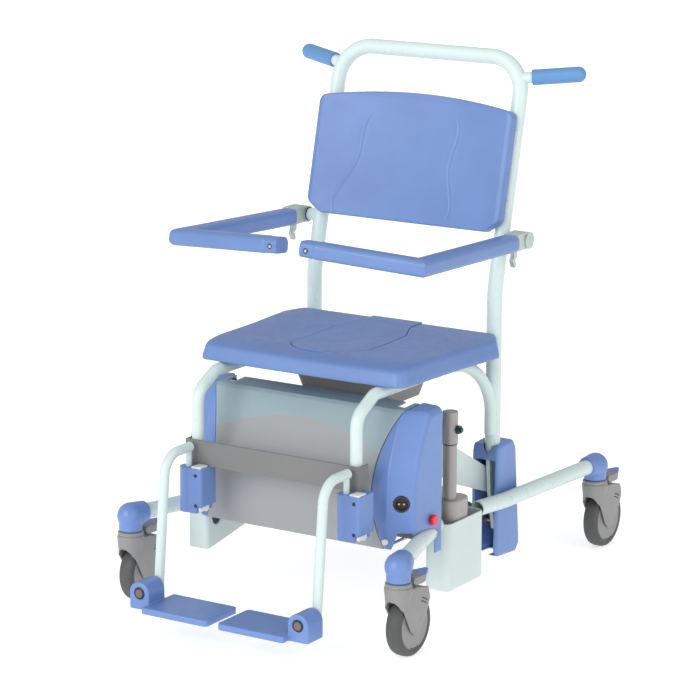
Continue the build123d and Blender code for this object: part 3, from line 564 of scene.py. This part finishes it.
def arc_bead(name, middle, reach, radius, start, stop, body, thick=0.0011):
    """Dark bead along an arc around the axle, on the face that reach gives: painted shade of a slit.
    """
    turns = np.radians(np.linspace(start, stop, 9))
    points = [(middle.x + reach(middle.z + radius * math.sin(t)), middle.y + radius * math.cos(t),
               middle.z + radius * math.sin(t)) for t in turns]
    return line_tube(name, points, thick, "seam", body)


# ways from each socket along its leg tube, as (x, y) on the right-hand side
LEG_WAY = {"front": (-0.081, 0.277), "rear": (-0.024, -0.359)}
BALL_R, BALL_Z, LEG_Z, MOUTH_R, MOUTH_REACH = 0.0275, 0.187, 0.190, 0.0212, 0.036
MOUTH_LIP, MOUTH_FLARE = 0.003, 0.001
SOCKET_FOOT, SOCKET_R = 0.1575, 0.0240
UP = Vector((0, 0, 1))


def ring_points(centre, axis, radius, steps=40):
    """Points of a circle around an axis."""
    turn = UP.rotation_difference(axis.normalized())
    return [centre + turn @ Vector((radius * math.cos(a), radius * math.sin(a), 0))
            for a in np.linspace(0, 2 * math.pi, steps, endpoint=False)]


def sockets():
    """Egg-shaped sockets: the skin drawn over a ball and a tube mouth, on a round foot."""
    build = bmesh.new()
    for corner in CORNERS:
        end, side = corner.split("_")
        low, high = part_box(f"castor_wheel_{corner}")
        stem = Vector(((low.x + high.x) / 2, (low.y + high.y) / 2 - TRAIL, 0))
        way = Vector((LEG_WAY[end][0] * SIDES[side], LEG_WAY[end][1], 0)).normalized()
        ball = Vector((stem.x, stem.y, BALL_Z))
        skin = [p for a in np.linspace(-1.4, 1.4, 15) for p in ring_points(
            ball + Vector((0, 0, BALL_R * math.sin(a))), UP, BALL_R * math.cos(a))]
        mouth = Vector((stem.x, stem.y, LEG_Z)) + way * MOUTH_REACH
        skin += ring_points(mouth, way, MOUTH_R)
        skin += ring_points(mouth - way * MOUTH_LIP, way, MOUTH_R + MOUTH_FLARE)
        foot = [p for z in (SOCKET_FOOT, BALL_Z)
                for p in ring_points(Vector((stem.x, stem.y, z)), UP, SOCKET_R)]
        for points in (skin, foot):
            bmesh.ops.convex_hull(build, input=[build.verts.new(p) for p in points])
    piece = rounded("socket_skins", mesh_from("socket_skins", build), 0.0014, 9)
    stand_for(piece, "castor_sockets", "blue_plastic")


def both_ways(half):
    """A lathe profile's first half and its mirror image; a point at the middle comes once."""
    return [*half, *[(-along, radius) for along, radius in reversed(half) if along]]


def castor(corner):
    """One castor: fork with collar and skirt, tyre, disc, slots as painted shade, brake pedal."""
    low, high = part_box(f"castor_wheel_{corner}")
    middle = (low + high) / 2
    body, wheel = f"castor_{corner}", f"wheel_{corner}"
    moulding(f"castor_fork_{corner}", 0.0012, 7, "castor_grey", fork_form(middle))
    stem_foot = Vector((middle.x, middle.y - TRAIL, 0))
    lathe(f"fork_collar_{corner}", COLLAR, stem_foot, (0, 0, 1), "castor_grey", body)
    fork_skirt(corner, middle)
    outline = [*both_ways(TYRE), TYRE[0]]
    tyre = lathe(f"tyre_{corner}", outline, middle, (1, 0, 0), "tyre", wheel, 96)
    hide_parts(f"castor_wheel_{corner}")
    lathe(f"wheel_disc_{corner}", both_ways(HUB), middle, (1, 0, 0), "castor_grey", wheel, 96)
    # the slits in the fork's cheeks and in the disc are dark beads: painted shade, not cut openings
    for side, sign in SIDES.items():
        for radius in FORK_SLOT_RADII:
            arc_bead(f"fork_slot_{side}_{round(radius * 1e4)}_{corner}", middle,
                     lambda z: sign * (cheek_reach(z) - 0.0002), radius, *FORK_SLOT_TURN, body)
        arc_bead(f"disc_slot_shade_{side}_{corner}", middle, lambda z: sign * DISC_FACE, DISC_SLOT_RADIUS,
                 *DISC_SLOT_TURN, wheel, 0.0014)
    pedal = moulding(f"brake_pedal_{corner}", 0.0010, 5, "castor_grey", pedal_form(middle))
    pedal.data.materials.append(MATERIALS["blue_tip"])
    toe = middle.y - TRAIL + PEDAL_TOE
    for face in pedal.data.polygons:
        face.material_index = 1 if face.center.y > toe else 0


for corner in CORNERS:
    castor(corner)
sockets()


# ---- Small fittings -------------------------------------------------------------------
def plate_piece(name, low, high, edge, slot, body):
    """Small plate with rounded edges."""
    build = bmesh.new()
    bmesh.ops.create_cube(build, size=1.0)
    middle = (Vector(low) + Vector(high)) / 2
    size = Vector(high) - Vector(low)
    for vert in build.verts:
        vert.co = middle + Vector([c * s for c, s in zip(vert.co, size)])
    bmesh.ops.bevel(build, geom=build.edges[:], offset=edge, segments=3, profile=0.5,
                    affect="EDGES")
    piece = paint(new_piece(name, mesh_from(name, build)), slot)
    shade_smooth(piece, 40.0)
    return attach(piece, body)


def hinge_fittings(side):
    """Two dark screws on the flange and a white glide plate on top of the block."""
    low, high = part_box(f"hinge_block_{side}")
    face_x = high.x - 0.013
    for spot, z in (("upper", high.z - 0.014), ("lower", low.z + 0.016)):
        place = Vector((face_x, low.y + 0.0024, z))
        lathe(f"hinge_screw_{spot}_{side}", dome(0.0036, 0.0014, 0.0005), place, (0, -1, 0),
              "seam", "seat_carrier", 24)
    plate_piece(f"glide_plate_{side}", (face_x - 0.012, low.y + 0.004, high.z - 0.0006),
                (face_x + 0.010, low.y + 0.031, high.z + 0.0032), 0.0012, "white_plastic",
                "seat_carrier")


def foot_cap(side):
    """Brown cap in a dark ring at the front of each footplate's barrel."""
    low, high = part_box(f"footplate_{side}")
    tube_low, tube_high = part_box(f"legrest_tube_{side}")
    centre = Vector(((tube_low.x + tube_high.x) / 2, tube_low.y, 0.086))
    body = f"legrest_{side}"
    lathe(f"foot_cap_{side}", dome(0.0088, 0.0022, 0.0012), centre + Vector((0, 0.0002, 0)),
          (0, -1, 0), "cap_brown", body, 40)
    torus_ring(f"foot_ring_{side}", centre + Vector((0, -0.0002, 0)), (0, -1, 0), 0.0103, 0.0015,
               "seam", body)


def arm_screw(side, sign):
    """Screw in a dark ring near the end of each arm's front bar."""
    spot = ARM_END + ARM_SLOPE * 0.017
    spot = Vector((sign * spot.x, spot.y - 0.0203, spot.z))
    body = f"armrest_{side}"
    torus_ring(f"arm_screw_ring_{side}", spot, (0, -1, 0), 0.0044, 0.0011, "seam", body)
    lathe(f"arm_screw_{side}", dome(0.0034, 0.0011, 0.0006), spot + Vector((0, 0.0003, 0)),
          (0, -1, 0), "steel", body, 24)


def boss_ring(side, sign):
    """Dark washer between the post's boss and the armrest bracket."""
    low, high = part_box(f"arm_bracket_{side}")
    inner = low.x if sign > 0 else high.x
    y = high.y - 0.017
    z = (low.z + high.z) / 2 - 0.0005
    centre = Vector((inner - sign * 0.0008, y, z))
    torus_ring(f"boss_ring_{side}", centre, (1, 0, 0), 0.0132, 0.0013, "seam", "seat_carrier")


INLET_TURN = math.atan2(26, 48)
INLET_PIN_AT = -0.0055


def charging_pins():
    """Gold contact pins standing in the inlet's well."""
    low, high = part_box("charging_socket")
    outward = Vector((math.sin(INLET_TURN), -math.cos(INLET_TURN), 0))
    across = Vector((math.cos(INLET_TURN), math.sin(INLET_TURN), 0))
    for name, offset in (("left", -0.005), ("right", 0.005)):
        start = (low + high) / 2 + across * offset - outward * INLET_PIN_AT
        lathe(f"charging_pin_{name}", dome(0.0023, 0.0048, 0.0012), start, outward, "gold",
              "base", 20)


def column_seams():
    """Dark seal ring where the column's head meets its tube."""
    low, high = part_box("actuator_rod")
    x, y = (low.x + high.x) / 2, (low.y + high.y) / 2
    tube_low, tube_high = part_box("actuator_body")
    torus_ring("column_seal", Vector((x, y, tube_high.z + 0.0005)), (0, 0, 1), 0.0140, 0.0012,
               "seam", "lift_column")


for side, sign in SIDES.items():
    hinge_fittings(side)
    foot_cap(side)
    arm_screw(side, sign)
    boss_ring(side, sign)
charging_pins()
column_seams()
paint(NODES["clevis_bolt"], "green_nut")


# ---- Stage --------------------------------------------------------------------------
CAMERA_AT = Vector((3.1881, -5.08325, 1.8904))
CAMERA_TO = Vector((0.01045, -0.08525, 0.51218))
CAMERA_LENS, CAMERA_ROLL = 154.93, math.radians(0.21)


def add_camera():
    """Long-lens camera that looks at the middle of the chair from its right front."""
    data = bpy.data.cameras.new("camera")
    data.lens, data.sensor_width = CAMERA_LENS, 36.0
    camera = bpy.data.objects.new("camera", data)
    turn = (CAMERA_TO - CAMERA_AT).to_track_quat("-Z", "Y").to_matrix().to_4x4()
    roll = Matrix.Rotation(CAMERA_ROLL, 4, "Z")
    camera.matrix_world = Matrix.Translation(CAMERA_AT) @ turn @ roll
    bpy.context.scene.collection.objects.link(camera)
    bpy.context.scene.camera = camera


def add_sun(name, azimuth, elevation, strength, spread):
    """Soft sun: azimuth from the front (-Y) towards +X, in degrees."""
    data = bpy.data.lights.new(name, "SUN")
    data.energy, data.angle = strength, math.radians(spread)
    sun = bpy.data.objects.new(name, data)
    a, e = math.radians(azimuth), math.radians(elevation)
    towards = Vector((math.sin(a) * math.cos(e), -math.cos(a) * math.cos(e), math.sin(e)))
    sun.rotation_euler = towards.to_track_quat("Z", "Y").to_euler()
    bpy.context.scene.collection.objects.link(sun)


def add_floor():
    """Wide matt floor that glows a little, so that shadows on it stay faint."""
    size = 40.0
    mesh = bpy.data.meshes.new("floor")
    mesh.from_pydata([(-size, -size, 0), (size, -size, 0), (size, size, 0), (-size, size, 0)], [],
                     [(0, 1, 2, 3)])
    floor = new_piece("floor", mesh)
    material = bpy.data.materials.new("floor")
    material.use_nodes = True
    shader = material.node_tree.nodes["Principled BSDF"]
    shader.inputs["Base Color"].default_value = (0.7, 0.7, 0.7, 1)
    shader.inputs["Roughness"].default_value = 0.9
    shader.inputs["Specular IOR Level"].default_value = 0.0
    shader.inputs["Emission Color"].default_value = (1, 1, 1, 1)
    shader.inputs["Emission Strength"].default_value = 0.62
    mesh.materials.append(material)
    floor.location.z = -0.0005


def add_world():
    """Even white light from all around."""
    world = bpy.data.worlds.new("studio")
    bpy.context.scene.world = world
    world.use_nodes = True
    back = world.node_tree.nodes["Background"]
    back.inputs["Color"].default_value = (1, 1, 1, 1)
    back.inputs["Strength"].default_value = 0.60


add_camera()
add_world()
add_sun("key", -10, 24, 1.5, 40)
add_sun("side", 75, 20, 0.75, 60)
add_floor()
bpy.context.scene.view_settings.view_transform = "Standard"
bpy.context.scene.view_settings.look = "None"
